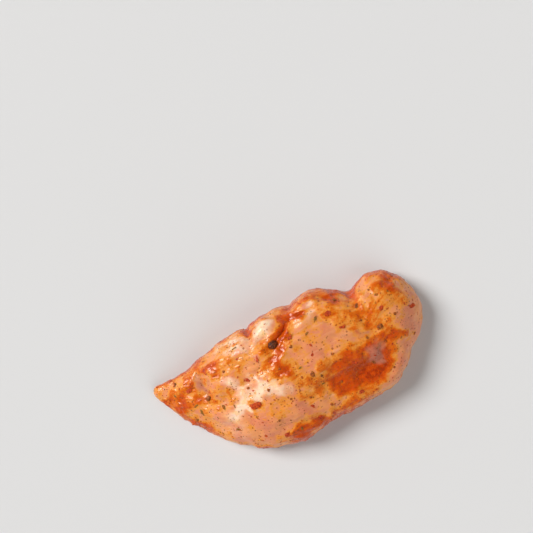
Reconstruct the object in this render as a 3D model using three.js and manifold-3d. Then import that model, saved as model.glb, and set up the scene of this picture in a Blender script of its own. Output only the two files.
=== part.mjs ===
// A raw marinated chicken breast fillet that lies smooth side up on its own flat underside: one solid.
// Millimetres, +Z up. X runs along the fillet, from its thin tip to its round head, and +Y is its straight
// side. A ball's points are carried to the fillet's cross-sections, lobes and creases then raise or lower
// them, the underside is cut flat, and the coarse bits of the marinade are joined on.
import * as THREE from "three";
import { mergeVertices } from "three/addons/utils/BufferGeometryUtils.js";
import Module from "manifold-3d";

const wasm = await Module();
wasm.setup();

// ---- Driving sizes ----
const LENGTH = 160;
const HALF = LENGTH / 2;

// Cross-sections from the tip to the head. left and right are the y of the edges, seen from above. crest
// is the height of the highest line, and rim the height of the widest one.
const SECTIONS = [
  { x: -66, left: 30.2, right: -2.9, crest: 13, rim: 4.5 },
  { x: -46, left: 33.4, right: -25.5, crest: 22, rim: 7 },
  { x: -24, left: 36.9, right: -36.0, crest: 29.5, rim: 9 },
  { x: -2, left: 36.3, right: -35.5, crest: 32, rim: 10 },
  { x: 18, left: 36.8, right: -34.0, crest: 31.5, rim: 10 },
  { x: 32, left: 34.8, right: -34.3, crest: 30.5, rim: 9.5 },
  { x: 46, left: 27.0, right: -32.1, crest: 29, rim: 9.5 },
  { x: 60, left: 29.4, right: -21.6, crest: 27, rim: 9.5 },
  { x: 72, left: 24.4, right: -13.5, crest: 21, rim: 9 },
];
// The two ends: where they lie, and how far they are rounded from above and from the side.
const TIP = { x: -HALF, y: 27.5, rim: 3, planRadius: 5.5, sideRadius: 1 };
const HEAD = { x: HALF, y: 4.2, rim: 9, planRadius: 31, sideRadius: 10 };

const SHOULDER = 0.26; // how much fuller than an ellipse a section's upper corners are
const LEAN = 0.2; // how much more of the height lies on the straight side
const SAG = 2.2; // how far a section would reach below its rim if nothing held it up, in rims

// Lobes (high above 0) and creases (below 0). Each lies at x, y, is turned by turn degrees from X, fades
// over long and wide, and bends aside by bow at its ends.
const RELIEF = [
  { name: "belly", x: -24, y: -9, turn: 16, long: 27, wide: 15, high: 1.5, bow: 0 },
  { name: "head dome", x: 62, y: 3, turn: 0, long: 14, wide: 15, high: 1.3, bow: 0 },
  { name: "keel ridge", x: -32, y: 26, turn: 5, long: 20, wide: 6, high: 1.5, bow: 1 },
  { name: "pool hollow", x: 34, y: -17, turn: 4, long: 17, wide: 7, high: -4.4, bow: 2 },
  { name: "pool arm", x: 8, y: -14, turn: 8, long: 13, wide: 4.5, high: -1.6, bow: -2 },
  { name: "pool lump", x: 42, y: -11.5, turn: 60, long: 5.5, wide: 4, high: 1.9, bow: 0 },
  { name: "side roll", x: 38, y: -29, turn: 9, long: 24, wide: 5, high: 2.2, bow: 3 },
  { name: "neck", x: 47, y: 6, turn: 74, long: 15, wide: 6, high: -1.3, bow: 0 },
  { name: "notch valley", x: 46, y: 23, turn: 66, long: 8, wide: 3.6, high: -1.5, bow: 0 },
  { name: "fat flap", x: -6.3, y: 31, turn: 14, long: 9, wide: 4.2, high: 3.3, bow: 0.5 },
  { name: "flap crease", x: 1.5, y: 25.4, turn: 30, long: 8.5, wide: 1.8, high: -3.1, bow: 0.5 },
  { name: "flap foot", x: -12.5, y: 25.6, turn: 14, long: 6.5, wide: 1.8, high: -1.7, bow: 0 },
  { name: "flap gap", x: -15.6, y: 32.6, turn: 80, long: 5.8, wide: 2.3, high: -3.2, bow: 1 },
  { name: "corn dimple", x: -6.2, y: 21, turn: 0, long: 4, wide: 3.2, high: -1.5, bow: 0 },
  { name: "middle lobe", x: 12, y: 23.2, turn: 4, long: 8, wide: 3.6, high: 2.3, bow: 1 },
  { name: "middle crease", x: 13, y: 28.6, turn: -9, long: 9, wide: 1.7, high: -2.6, bow: 1 },
  { name: "edge ridge", x: 21.5, y: 32, turn: 2, long: 8, wide: 3.4, high: 1.8, bow: 1 },
  { name: "edge crease", x: 33, y: 28.5, turn: -32, long: 7, wide: 2.2, high: -1.7, bow: 0 },
  { name: "keel dent", x: -42, y: 36, turn: 70, long: 6, wide: 5, high: -0.7, bow: 0 },
  { name: "keel cleft", x: 12, y: 38, turn: 105, long: 6, wide: 3, high: -1.6, bow: 0 },
  { name: "grain furrow", x: -16, y: 13, turn: 17, long: 24, wide: 2.8, high: -1.1, bow: 2 },
  { name: "grain ridge", x: -40, y: 16, turn: 20, long: 15, wide: 3.6, high: 0.9, bow: 1 },
  { name: "tip step", x: -53, y: 17, turn: 76, long: 10, wide: 3.6, high: -1.7, bow: 0 },
  { name: "tip brow", x: -46, y: 16, turn: 76, long: 11, wide: 4, high: 0.9, bow: 0 },
  { name: "tip fold", x: -54, y: 2, turn: -40, long: 13, wide: 4, high: 1.1, bow: 1 },
  { name: "flank crease", x: -8, y: -27, turn: -14, long: 14, wide: 2.8, high: -1.5, bow: 1 },
];
// Lips: where the surface leans over by high towards way, in degrees from X.
const LIPS = [
  { name: "flap lip", x: 0.4, y: 27.3, turn: 30, long: 7.5, wide: 1.6, high: 1.3, bow: 0.5, way: -60 },
  { name: "lobe lip", x: 13, y: 26.4, turn: -9, long: 7, wide: 1.6, high: 0.8, bow: 1, way: 81 },
];
// Slow unevenness: how high each wave is, how long, the way it runs in degrees, and where it starts. Its
// crests bend aside by WAVER's share of its length.
const SWELLS = [
  { high: 0.45, length: 41, way: 24, start: 0.3 },
  { high: 0.3, length: 26, way: 112, start: 1.9 },
  { high: 0.24, length: 17, way: 58, start: 4.1 },
  { high: 0.15, length: 11, way: -32, start: 2.6 },
];
const WAVER = { share: 0.35, length: 1.6 };

// Coarse bits in the marinade: length, width and thickness, and how far each kind is sunk in.
const BITS = {
  peppercorn: { size: [4.8, 4.4, 4.2], sunk: 0.45, facets: 1 },
  chilli: { size: [4.2, 2.8, 1.3], sunk: 0.5, facets: 0 },
  pepper: { size: [2.6, 2.1, 1.6], sunk: 0.5, facets: 0 },
  herb: { size: [3.4, 1.5, 1.1], sunk: 0.5, facets: 0 },
};
// The bits that stand out one by one, and how many lie scattered.
const PLACED_BITS = [
  { kind: "peppercorn", x: -6.4, y: 21.3, turn: 20, scale: 1.25 },
  { kind: "chilli", x: -31, y: -4.2, turn: -12, scale: 1.55 },
  { kind: "herb", x: -47.2, y: 2.6, turn: 80, scale: 1.25 },
  { kind: "pepper", x: -53.5, y: 11.2, turn: 0, scale: 1.35 },
  { kind: "chilli", x: -61, y: 21, turn: 25, scale: 1.1 },
  { kind: "chilli", x: 29.4, y: 21.4, turn: 10, scale: 1.05 },
  { kind: "pepper", x: 45.5, y: 17.4, turn: 50, scale: 1.25 },
  { kind: "herb", x: 21.6, y: 22.3, turn: 50, scale: 1.1 },
  { kind: "chilli", x: -3.5, y: -28.7, turn: 12, scale: 1.1 },
  { kind: "chilli", x: -23.4, y: -27.8, turn: -10, scale: 1.1 },
  { kind: "chilli", x: 72.5, y: 2.2, turn: -20, scale: 1 },
  { kind: "chilli", x: 24.6, y: -26.6, turn: 30, scale: 1.1 },
  { kind: "pepper", x: 5.6, y: -3.8, turn: 65, scale: 1.3 },
  { kind: "chilli", x: 33, y: 11, turn: -28, scale: 0.9 },
  { kind: "chilli", x: 57, y: 9.5, turn: 20, scale: 0.9 },
  { kind: "herb", x: -46, y: -12, turn: -35, scale: 1.1 },
  { kind: "herb", x: -60.2, y: 5.6, turn: 80, scale: 1.15 },
  { kind: "pepper", x: 51.2, y: 0.8, turn: 0, scale: 1.35 },
  { kind: "chilli", x: -66.2, y: -2.6, turn: -50, scale: 1 },
  { kind: "herb", x: 58.6, y: 17, turn: -30, scale: 1 },
  { kind: "herb", x: 14, y: 17.6, turn: 20, scale: 0.9 },
];
const SCATTERED_BITS = 48;
const SCATTER_KINDS = ["chilli", "herb", "pepper", "pepper"];
const SCATTER_REACH = { along: 0.9, across: 0.88 }; // shares of the fillet that the scatter covers
const SCATTER_SCALE = { least: 0.55, most: 0.85 }; // against the sizes in BITS
const SCATTER_STEP = { along: 0.7548776662, across: 0.569840291 }; // irrational, so that no rows form
const SCATTER_START = 919; // the step at which it begins, which keeps the pale places clear
const CLEARANCE = 5; // between the middles of two bits
const BIT_JITTER = 0.16; // how uneven a bit is, as a share of its size
const SEED = 4207;

// ---- Fineness ----
const BALL_DETAIL = 20;
const TOP_BIAS = 0.35; // draws the ball's points towards the top, where the relief is
const PROBE = 1e-3; // how far apart points are taken for a normal
const WELD = 1e-4; // points nearer than this are one
const UNDERSIDE = { bare: -0.9, full: 0.1 }; // the normal's z between which the relief comes in

// A smooth curve through (x, value) pairs, with the slope at each pair taken from its neighbours.
function smoothThrough(xs, values) {
  const last = xs.length - 1;
  const slopes = xs.map((_, i) => {
    const before = Math.max(i - 1, 0);
    const after = Math.min(i + 1, last);
    return (values[after] - values[before]) / (xs[after] - xs[before]);
  });
  return (x) => {
    let i = 0;
    while (i < last - 1 && x > xs[i + 1]) i += 1;
    const step = xs[i + 1] - xs[i];
    const t = Math.min(Math.max((x - xs[i]) / step, 0), 1);
    const rest = 1 - t;
    return (
      values[i] * (1 + 2 * t) * rest * rest +
      slopes[i] * step * t * rest * rest +
      values[i + 1] * t * t * (3 - 2 * t) -
      slopes[i + 1] * step * t * t * rest
    );
  };
}

// How wide a ball of radius 1 is at s along its axis.
const ballWidth = (s) => Math.sqrt(Math.max(1 - s * s, 0));

// The fillet's measures as curves along X, with the ends' roundness carried in: breadth and rise are
// those that an ellipse of the fillet's length needs, to be as wide and as high as the section.
const stations = [TIP.x, ...SECTIONS.map((c) => c.x), HEAD.x];
const along = (tip, ofSection, head) => smoothThrough(stations, [tip, ...SECTIONS.map(ofSection), head]);
const endReach = (radius) => Math.sqrt(radius * HALF);
const middle = along(TIP.y, (c) => (c.left + c.right) / 2, HEAD.y);
const breadth = along(
  endReach(TIP.planRadius),
  (c) => (c.left - c.right) / 2 / ballWidth(c.x / HALF),
  endReach(HEAD.planRadius),
);
const rise = along(
  endReach(TIP.sideRadius),
  (c) => (c.crest - c.rim) / ballWidth(c.x / HALF),
  endReach(HEAD.sideRadius),
);
const rimHeight = along(TIP.rim, (c) => c.rim, HEAD.rim);

// The point of the smooth fillet that a point of the ball is carried to.
function skin(ball) {
  const x = HALF * ball.x;
  const width = Math.max(ballWidth(ball.x), PROBE);
  const side = ball.y / width;
  const up = ball.z / width;
  const y = middle(x) + breadth(x) * ball.y;
  const above = rise(x) * ball.z * (1 + SHOULDER * (1 - up * up)) * (1 + LEAN * side);
  const below = SAG * rimHeight(x) * ball.z;
  return new THREE.Vector3(x, y, rimHeight(x) + (ball.z > 0 ? above : below));
}

// The outward normal of the smooth fillet at a point of the ball.
function skinNormal(ball) {
  const aside = Math.abs(ball.x) < 0.9 ? new THREE.Vector3(1, 0, 0) : new THREE.Vector3(0, 1, 0);
  const first = aside.cross(ball).normalize();
  const second = ball.clone().cross(first);
  const at = (way, step) => skin(ball.clone().addScaledVector(way, step).normalize());
  const alongFirst = at(first, PROBE).sub(at(first, -PROBE));
  const alongSecond = at(second, PROBE).sub(at(second, -PROBE));
  return alongFirst.cross(alongSecond).normalize();
}

// How far one lobe or crease moves the surface at x, y.
function mark(form, x, y) {
  const turn = THREE.MathUtils.degToRad(form.turn);
  const dx = x - form.x;
  const dy = y - form.y;
  const u = (dx * Math.cos(turn) + dy * Math.sin(turn)) / form.long;
  const v = (dy * Math.cos(turn) - dx * Math.sin(turn) - form.bow * u * u) / form.wide;
  return form.high * Math.exp(-u * u - v * v);
}

function swell(wave, x, y) {
  const way = THREE.MathUtils.degToRad(wave.way);
  const ahead = (x * Math.cos(way) + y * Math.sin(way)) / wave.length;
  const aside = (y * Math.cos(way) - x * Math.sin(way)) / wave.length;
  const bend = WAVER.share * Math.sin((2 * Math.PI * aside) / WAVER.length + wave.start);
  return wave.high * Math.sin(2 * Math.PI * (ahead + bend) + wave.start);
}

const total = (list, amount) => list.reduce((sum, item) => sum + amount(item), 0);

function relief(x, y) {
  return total(RELIEF, (form) => mark(form, x, y)) + total(SWELLS, (wave) => swell(wave, x, y));
}

function leaning(x, y) {
  return LIPS.reduce((sum, lip) => {
    const way = THREE.MathUtils.degToRad(lip.way);
    return sum.addScaledVector(new THREE.Vector3(Math.cos(way), Math.sin(way), 0), mark(lip, x, y));
  }, new THREE.Vector3());
}

// The fillet's surface with its relief, which fades out on the underside.
function surface(ball) {
  const { x, y, z } = skin(ball);
  const normal = skinNormal(ball);
  const share = THREE.MathUtils.smoothstep(normal.z, UNDERSIDE.bare, UNDERSIDE.full);
  const shift = leaning(x, y).addScaledVector(normal, relief(x, y));
  return { point: new THREE.Vector3(x, y, z).addScaledVector(shift, share), normal };
}

function solidOf(geometry) {
  geometry.deleteAttribute("normal");
  geometry.deleteAttribute("uv");
  const merged = mergeVertices(geometry, WELD);
  return new wasm.Manifold(
    new wasm.Mesh({
      numProp: 3,
      vertProperties: merged.attributes.position.array,
      triVerts: new Uint32Array(merged.index.array),
    }),
  );
}

// Moves each point of a geometry to where place says.
function reshape(geometry, place) {
  const position = geometry.attributes.position;
  const point = new THREE.Vector3();
  for (let i = 0; i < position.count; i += 1) {
    point.fromBufferAttribute(position, i);
    position.setXYZ(i, ...place(point));
  }
  return geometry;
}

// A point of an even ball, drawn towards the top.
function biased(point) {
  const ball = point.clone().normalize();
  const fromTop = Math.acos(THREE.MathUtils.clamp(ball.z, -1, 1));
  const spread = Math.hypot(ball.x, ball.y);
  const nearer = fromTop - TOP_BIAS * Math.sin(fromTop);
  const scale = spread > 0 ? Math.sin(nearer) / spread : 0;
  return new THREE.Vector3(ball.x * scale, ball.y * scale, Math.cos(nearer));
}

function flesh() {
  const ball = new THREE.IcosahedronGeometry(1, BALL_DETAIL);
  const body = solidOf(reshape(ball, (point) => surface(biased(point)).point));
  const room = 2 * LENGTH;
  const floor = new THREE.BoxGeometry(room, room, LENGTH).translate(0, 0, -LENGTH / 2);
  return body.subtract(solidOf(floor));
}

// Draws from 0 to 1 that are the same wherever this is run: each is the last, multiplied, less whole
// moduli.
function seededDraw(seed) {
  const multiplier = 16807;
  const modulus = 2147483647;
  let state = seed;
  return () => {
    state = (state * multiplier) % modulus;
    return state / modulus;
  };
}

// The ball's point above x, y of the fillet.
function ballPointAbove(x, y) {
  const s = x / HALF;
  const side = (y - middle(x)) / breadth(x);
  return new THREE.Vector3(s, side, Math.sqrt(Math.max(1 - s * s - side * side, 0)));
}

// The placed bits, and then the scattered ones: spread evenly, less those that would touch another.
function listBits(draw) {
  const bits = [...PLACED_BITS];
  for (let i = SCATTER_START; bits.length < PLACED_BITS.length + SCATTERED_BITS; i += 1) {
    const s = SCATTER_REACH.along * (2 * ((i * SCATTER_STEP.along) % 1) - 1);
    const across = SCATTER_REACH.across * (2 * ((i * SCATTER_STEP.across) % 1) - 1);
    const x = HALF * s;
    const y = middle(x) + breadth(x) * ballWidth(s) * across;
    const kind = SCATTER_KINDS[Math.floor(draw() * SCATTER_KINDS.length)];
    const turn = 360 * draw();
    const scale = SCATTER_SCALE.least + (SCATTER_SCALE.most - SCATTER_SCALE.least) * draw();
    if (bits.every((bit) => Math.hypot(bit.x - x, bit.y - y) > CLEARANCE)) {
      bits.push({ kind, x, y, turn, scale });
    }
  }
  return bits;
}

function bitSolid(bit, draw) {
  const { size, sunk, facets } = BITS[bit.kind];
  const [long, wide, thick] = size.map((side) => side * bit.scale);
  const unevenness = new Map();
  const uneven = (point) => {
    const key = point.toArray().map((n) => n.toFixed(3)).join();
    if (!unevenness.has(key)) unevenness.set(key, 1 + BIT_JITTER * (2 * draw() - 1));
    return unevenness.get(key);
  };
  const chip = reshape(new THREE.IcosahedronGeometry(0.5, facets), (point) =>
    point.clone().multiplyScalar(uneven(point)).multiply(new THREE.Vector3(long, wide, thick)),
  );
  const { point, normal } = surface(ballPointAbove(bit.x, bit.y));
  const lift = thick * (0.5 - sunk);
  const stand = new THREE.Quaternion().setFromUnitVectors(new THREE.Vector3(0, 0, 1), normal);
  chip.rotateZ(THREE.MathUtils.degToRad(bit.turn)).applyQuaternion(stand);
  return solidOf(chip.translate(...point.addScaledVector(normal, lift)));
}

// ---- The part ----
const draw = seededDraw(SEED);
const bits = listBits(draw);
const whole = bits.reduce((solid, bit) => solid.add(bitSolid(bit, draw)), flesh());
const { numProp, vertProperties, triVerts } = whole.getMesh();
const geometry = new THREE.BufferGeometry()
  .setAttribute("position", new THREE.BufferAttribute(vertProperties, numProp))
  .setIndex(new THREE.BufferAttribute(triVerts, 1));
geometry.computeVertexNormals();

const fillet = new THREE.Mesh(
  geometry,
  new THREE.MeshStandardMaterial({ color: 0xd98a52, roughness: 0.3, metalness: 0 }),
);
fillet.name = "breast_fillet";

// The origin is the middle of the fillet's box, on the surface that it lies on.
const box = new THREE.Box3().setFromObject(fillet);
fillet.position.set(-(box.min.x + box.max.x) / 2, -(box.min.y + box.max.y) / 2, 0);

const part = new THREE.Group();
part.add(fillet);
export default part;
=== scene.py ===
"""A raw marinated chicken breast fillet, lying smooth side up.

The flesh is one fine mesh that stands for the solid: it has the solid's form, with the muscle's grain, the
marinade's film and the pool in its hollow added in relief. The coarse spice lies where the solid has it, with
ground spice round it. Sizes of the form are millimetres, and meshes are made in metres.
"""

from __future__ import annotations

import logging
import math
from collections.abc import Callable, Iterator
from dataclasses import dataclass, field
from enum import Enum

import bmesh
import bpy
import numpy as np
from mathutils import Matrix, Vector, noise


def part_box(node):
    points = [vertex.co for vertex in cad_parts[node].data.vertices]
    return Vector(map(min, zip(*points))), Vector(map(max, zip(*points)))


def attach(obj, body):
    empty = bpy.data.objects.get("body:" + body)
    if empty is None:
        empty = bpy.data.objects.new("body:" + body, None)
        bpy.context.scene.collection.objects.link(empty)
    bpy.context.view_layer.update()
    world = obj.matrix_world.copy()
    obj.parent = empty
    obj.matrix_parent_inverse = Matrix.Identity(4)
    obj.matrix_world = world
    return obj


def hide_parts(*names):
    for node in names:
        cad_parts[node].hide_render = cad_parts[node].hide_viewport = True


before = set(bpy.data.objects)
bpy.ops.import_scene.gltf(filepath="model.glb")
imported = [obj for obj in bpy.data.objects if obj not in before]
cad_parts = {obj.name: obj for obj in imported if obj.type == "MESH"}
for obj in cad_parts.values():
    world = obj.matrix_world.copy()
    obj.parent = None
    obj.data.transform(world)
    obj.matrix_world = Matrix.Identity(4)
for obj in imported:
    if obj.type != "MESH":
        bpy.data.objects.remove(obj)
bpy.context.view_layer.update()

LOG = logging.getLogger("fillet")
NODE = "breast_fillet"
BODY = "root"
METRE = 1e-3  # millimetres to metres
TINY = 1e-12
LAYER_FADE = 1.0  # how fast the finer layers of unevenness fade
LAYER_STEP = 2.0  # how much finer each of them is
WELD_DIGITS = 6  # points that agree so far are one
MEASURES = ("film", "pool", "fat_and_highlight", "blood", "lines")

Array = np.ndarray
Range = tuple[float, float]
Triple = tuple[float, float, float]
Colour = Triple
Socket = bpy.types.NodeSocket
Value = Socket | float | Colour | Vector


def srgb(red: int, green: int, blue: int) -> Colour:
    """A screen's red, green and blue, 0 to 255 each, as the linear values that shaders take."""
    return tuple(((v / 255 + 0.055) / 1.055) ** 2.4 if v > 10 else v / 255 / 12.92 for v in (red, green, blue))


def smoothstep(value: Array, low: float, high: float) -> Array:
    """0 below low, 1 above high, and a smooth rise between them."""
    t = np.clip((value - low) / (high - low), 0, 1)
    return t * t * (3 - 2 * t)


def unit(vectors: Array) -> Array:
    """The vectors at length 1."""
    return vectors / np.maximum(np.linalg.norm(vectors, axis=-1, keepdims=True), TINY)


@dataclass(frozen=True)
class Bumps:
    """Fractal unevenness, about -1 to 1, whose largest bumps lie size apart."""

    size: float
    layers: int
    start: float  # moves it, so that no two are alike

    def at(self, points: Array) -> Array:
        """Its value at each point."""
        places = (points / self.size + self.start).tolist()
        return np.array([noise.fractal(place, LAYER_FADE, LAYER_STEP, self.layers) for place in places])


class Curve:
    """A smooth curve through (x, value) pairs, with the slope at each pair taken from its neighbours."""

    def __init__(self, xs: list[float], values: list[float]) -> None:
        """Keeps the pairs and works out the slopes."""
        self.xs = np.array(xs)
        self.values = np.array(values)
        count = len(xs)
        before = np.maximum(np.arange(count) - 1, 0)
        after = np.minimum(np.arange(count) + 1, count - 1)
        self.slopes = (self.values[after] - self.values[before]) / (self.xs[after] - self.xs[before])

    def __call__(self, x: Array) -> Array:
        """The curve's value at each x."""
        i = np.clip(np.searchsorted(self.xs, x) - 1, 0, len(self.xs) - 2)
        step = self.xs[i + 1] - self.xs[i]
        t = np.clip((x - self.xs[i]) / step, 0, 1)
        rest = 1 - t
        return (
            self.values[i] * (1 + 2 * t) * rest * rest
            + self.slopes[i] * step * t * rest * rest
            + self.values[i + 1] * t * t * (3 - 2 * t)
            - self.slopes[i + 1] * step * t * t * rest
        )


@dataclass(frozen=True)
class Section:
    """A cross-section of the fillet: its edges' y from above, and the heights of its crest and widest line."""

    x: float
    left: float
    right: float
    crest: float
    rim: float


@dataclass(frozen=True)
class End:
    """An end of the fillet: its place, and how far it is rounded from above and from the side."""

    x: float
    y: float
    rim: float
    plan_radius: float
    side_radius: float


@dataclass(frozen=True)
class Spot:
    """A soft-edged place on the fillet, turned from X and bent aside by bow at its ends."""

    name: str
    x: float
    y: float
    turn: float
    long: float
    wide: float
    high: float
    bow: float = 0.0

    def share(self, x: Array, y: Array) -> Array:
        """How much each point belongs to it, 1 at its middle."""
        turn = math.radians(self.turn)
        u = ((x - self.x) * math.cos(turn) + (y - self.y) * math.sin(turn)) / self.long
        v = ((y - self.y) * math.cos(turn) - (x - self.x) * math.sin(turn) - self.bow * u * u) / self.wide
        return np.exp(-u * u - v * v)


def spots(*rows: tuple) -> tuple[Spot, ...]:
    """Spots, each from its name, x, y, turn, long, wide, high and, where it bends, its bow."""
    return tuple(Spot(*row) for row in rows)


@dataclass(frozen=True)
class Lip(Spot):
    """A place whose surface leans over by high towards way, in degrees from X."""

    way: float = 0.0

    def lean(self, x: Array, y: Array) -> Array:
        """How far it moves each point."""
        way = math.radians(self.way)
        return self.high * self.share(x, y)[:, None] * np.array([math.cos(way), math.sin(way), 0.0])


@dataclass(frozen=True)
class Swell:
    """A slow wave in the surface."""

    high: float
    length: float
    way: float
    start: float
    waver: float = 0.35
    waver_length: float = 1.6

    def lift(self, x: Array, y: Array) -> Array:
        """How far it raises each point."""
        way = math.radians(self.way)
        ahead = (x * math.cos(way) + y * math.sin(way)) / self.length
        aside = (y * math.cos(way) - x * math.sin(way)) / self.length
        bend = self.waver * np.sin(2 * math.pi * aside / self.waver_length + self.start)
        return self.high * np.sin(2 * math.pi * (ahead + bend) + self.start)


RELIEF = spots(
    ("belly", -24, -9, 16, 27, 15, 1.5),
    ("head dome", 62, 3, 0, 14, 15, 1.3),
    ("keel ridge", -32, 26, 5, 20, 6, 1.5, 1),
    ("pool hollow", 34, -17, 4, 17, 7, -4.4, 2),
    ("pool arm", 8, -14, 8, 13, 4.5, -1.6, -2),
    ("pool lump", 42, -11.5, 60, 5.5, 4, 1.9),
    ("side roll", 38, -29, 9, 24, 5, 2.2, 3),
    ("neck", 47, 6, 74, 15, 6, -1.3),
    ("notch valley", 46, 23, 66, 8, 3.6, -1.5),
    ("fat flap", -6.3, 31, 14, 9, 4.2, 3.3, 0.5),
    ("flap crease", 1.5, 25.4, 30, 8.5, 1.8, -3.1, 0.5),
    ("flap foot", -12.5, 25.6, 14, 6.5, 1.8, -1.7),
    ("flap gap", -15.6, 32.6, 80, 5.8, 2.3, -3.2, 1),
    ("corn dimple", -6.2, 21, 0, 4, 3.2, -1.5),
    ("middle lobe", 12, 23.2, 4, 8, 3.6, 2.3, 1),
    ("middle crease", 13, 28.6, -9, 9, 1.7, -2.6, 1),
    ("edge ridge", 21.5, 32, 2, 8, 3.4, 1.8, 1),
    ("edge crease", 33, 28.5, -32, 7, 2.2, -1.7),
    ("keel dent", -42, 36, 70, 6, 5, -0.7),
    ("keel cleft", 12, 38, 105, 6, 3, -1.6),
    ("grain furrow", -16, 13, 17, 24, 2.8, -1.1, 2),
    ("grain ridge", -40, 16, 20, 15, 3.6, 0.9, 1),
    ("tip step", -53, 17, 76, 10, 3.6, -1.7),
    ("tip brow", -46, 16, 76, 11, 4, 0.9),
    ("tip fold", -54, 2, -40, 13, 4, 1.1, 1),
    ("flank crease", -8, -27, -14, 14, 2.8, -1.5, 1),
)


@dataclass
class FilletForm:
    """The solid's form: a ball's points carried to the fillet's sections, then raised by lobes and creases."""

    half: float = 80.0
    sections: tuple[Section, ...] = (
        Section(-66, 30.2, -2.9, 13, 4.5),
        Section(-46, 33.4, -25.5, 22, 7),
        Section(-24, 36.9, -36.0, 29.5, 9),
        Section(-2, 36.3, -35.5, 32, 10),
        Section(18, 36.8, -34.0, 31.5, 10),
        Section(32, 34.8, -34.3, 30.5, 9.5),
        Section(46, 27.0, -32.1, 29, 9.5),
        Section(60, 29.4, -21.6, 27, 9.5),
        Section(72, 24.4, -13.5, 21, 9),
    )
    tip: End = End(-80, 27.5, 3, 5.5, 1)
    head: End = End(80, 4.2, 9, 31, 10)
    shoulder: float = 0.26  # how much fuller than an ellipse a section is
    lean: float = 0.2  # how much more of the height lies on the straight side
    sag: float = 2.2  # how far a section reaches below its rim, in rims
    relief_spots: tuple[Spot, ...] = RELIEF
    lips: tuple[Lip, ...] = (
        Lip("flap lip", 0.4, 27.3, 30, 7.5, 1.6, 1.3, 0.5, -60),
        Lip("lobe lip", 13, 26.4, -9, 7, 1.6, 0.8, 1, 81),
    )
    overhang: float = 1.7  # how far the lips lean, against the solid's
    swells: tuple[Swell, ...] = (
        Swell(0.45, 41, 24, 0.3),
        Swell(0.3, 26, 112, 1.9),
        Swell(0.24, 17, 58, 4.1),
        Swell(0.15, 11, -32, 2.6),
    )
    probe: float = 1e-3  # how far apart points are taken for a normal
    near_axis: float = 0.9  # from which a direction counts as along X
    underside: Range = (-0.9, 0.1)  # the normal's z between which the relief comes in

    def __post_init__(self) -> None:
        """Works out the curves along X."""
        stations = [self.tip.x, *(c.x for c in self.sections), self.head.x]

        def along(tip: float, measure: Callable[[Section], float], head: float) -> Curve:
            """The curve of one measure from end to end."""
            return Curve(stations, [tip, *map(measure, self.sections), head])

        def width(c: Section) -> float:
            """How wide the ball is at a section."""
            return math.sqrt(1 - (c.x / self.half) ** 2)

        def reach(radius: float) -> float:
            """The half-breadth of an ellipse of the fillet's length that ends in this radius."""
            return math.sqrt(radius * self.half)

        self.middle = along(self.tip.y, lambda c: (c.left + c.right) / 2, self.head.y)
        self.breadth = along(
            reach(self.tip.plan_radius), lambda c: (c.left - c.right) / 2 / width(c), reach(self.head.plan_radius)
        )
        self.rise = along(
            reach(self.tip.side_radius), lambda c: (c.crest - c.rim) / width(c), reach(self.head.side_radius)
        )
        self.rim = along(self.tip.rim, lambda c: c.rim, self.head.rim)

    def skin(self, ball: Array) -> Array:
        """The points of the smooth fillet that points of the ball are carried to."""
        x = self.half * ball[:, 0]
        width = np.maximum(np.sqrt(np.maximum(1 - ball[:, 0] ** 2, 0)), self.probe)
        side = ball[:, 1] / width
        up = ball[:, 2] / width
        y = self.middle(x) + self.breadth(x) * ball[:, 1]
        above = self.rise(x) * ball[:, 2] * (1 + self.shoulder * (1 - up * up)) * (1 + self.lean * side)
        below = self.sag * self.rim(x) * ball[:, 2]
        return np.stack([x, y, self.rim(x) + np.where(ball[:, 2] > 0, above, below)], axis=1)

    def normals(self, ball: Array) -> Array:
        """The outward normals of the smooth fillet at points of the ball."""
        axes = np.where(np.abs(ball[:, :1]) < self.near_axis, [[1.0, 0, 0]], [[0, 1.0, 0]])
        first = unit(np.cross(axes, ball))
        second = np.cross(ball, first)

        def slope(way: Array) -> Array:
            """How the skin runs along one way on the ball."""
            return self.skin(unit(ball + self.probe * way)) - self.skin(unit(ball - self.probe * way))

        return unit(np.cross(slope(first), slope(second)))

    def relief(self, x: Array, y: Array) -> Array:
        """How far the lobes, creases and swells raise each point."""
        return sum(s.high * s.share(x, y) for s in self.relief_spots) + sum(w.lift(x, y) for w in self.swells)

    def surface(self, ball: Array) -> tuple[Array, Array]:
        """The solid's surface.

        Args:
            ball: points of the ball, one row each.

        Returns:
            The surface's points, and the normals that the relief is raised along.
        """
        point = self.skin(ball)
        normal = self.normals(ball)
        x, y = point[:, 0], point[:, 1]
        share = smoothstep(normal[:, 2], *self.underside)
        lean = self.overhang * sum(lip.lean(x, y) for lip in self.lips)
        return point + share[:, None] * (lean + normal * self.relief(x, y)[:, None]), normal

    def ball_above(self, x: Array, y: Array) -> Array:
        """The points of the ball that are carried to the top surface at x, y."""
        s = x / self.half
        side = (y - self.middle(x)) / self.breadth(x)
        return np.stack([s, side, np.sqrt(np.maximum(1 - s * s - side * side, 0))], axis=1)


# Thick marinade. The spots along the outline (edge red, head top edge, keel rim, flap rim, head edge, keel edge, tip
# edge, low edge) are also painted shade: darker marinade where the edge lies in shade, besides the marinade gathered
# there.
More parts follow.
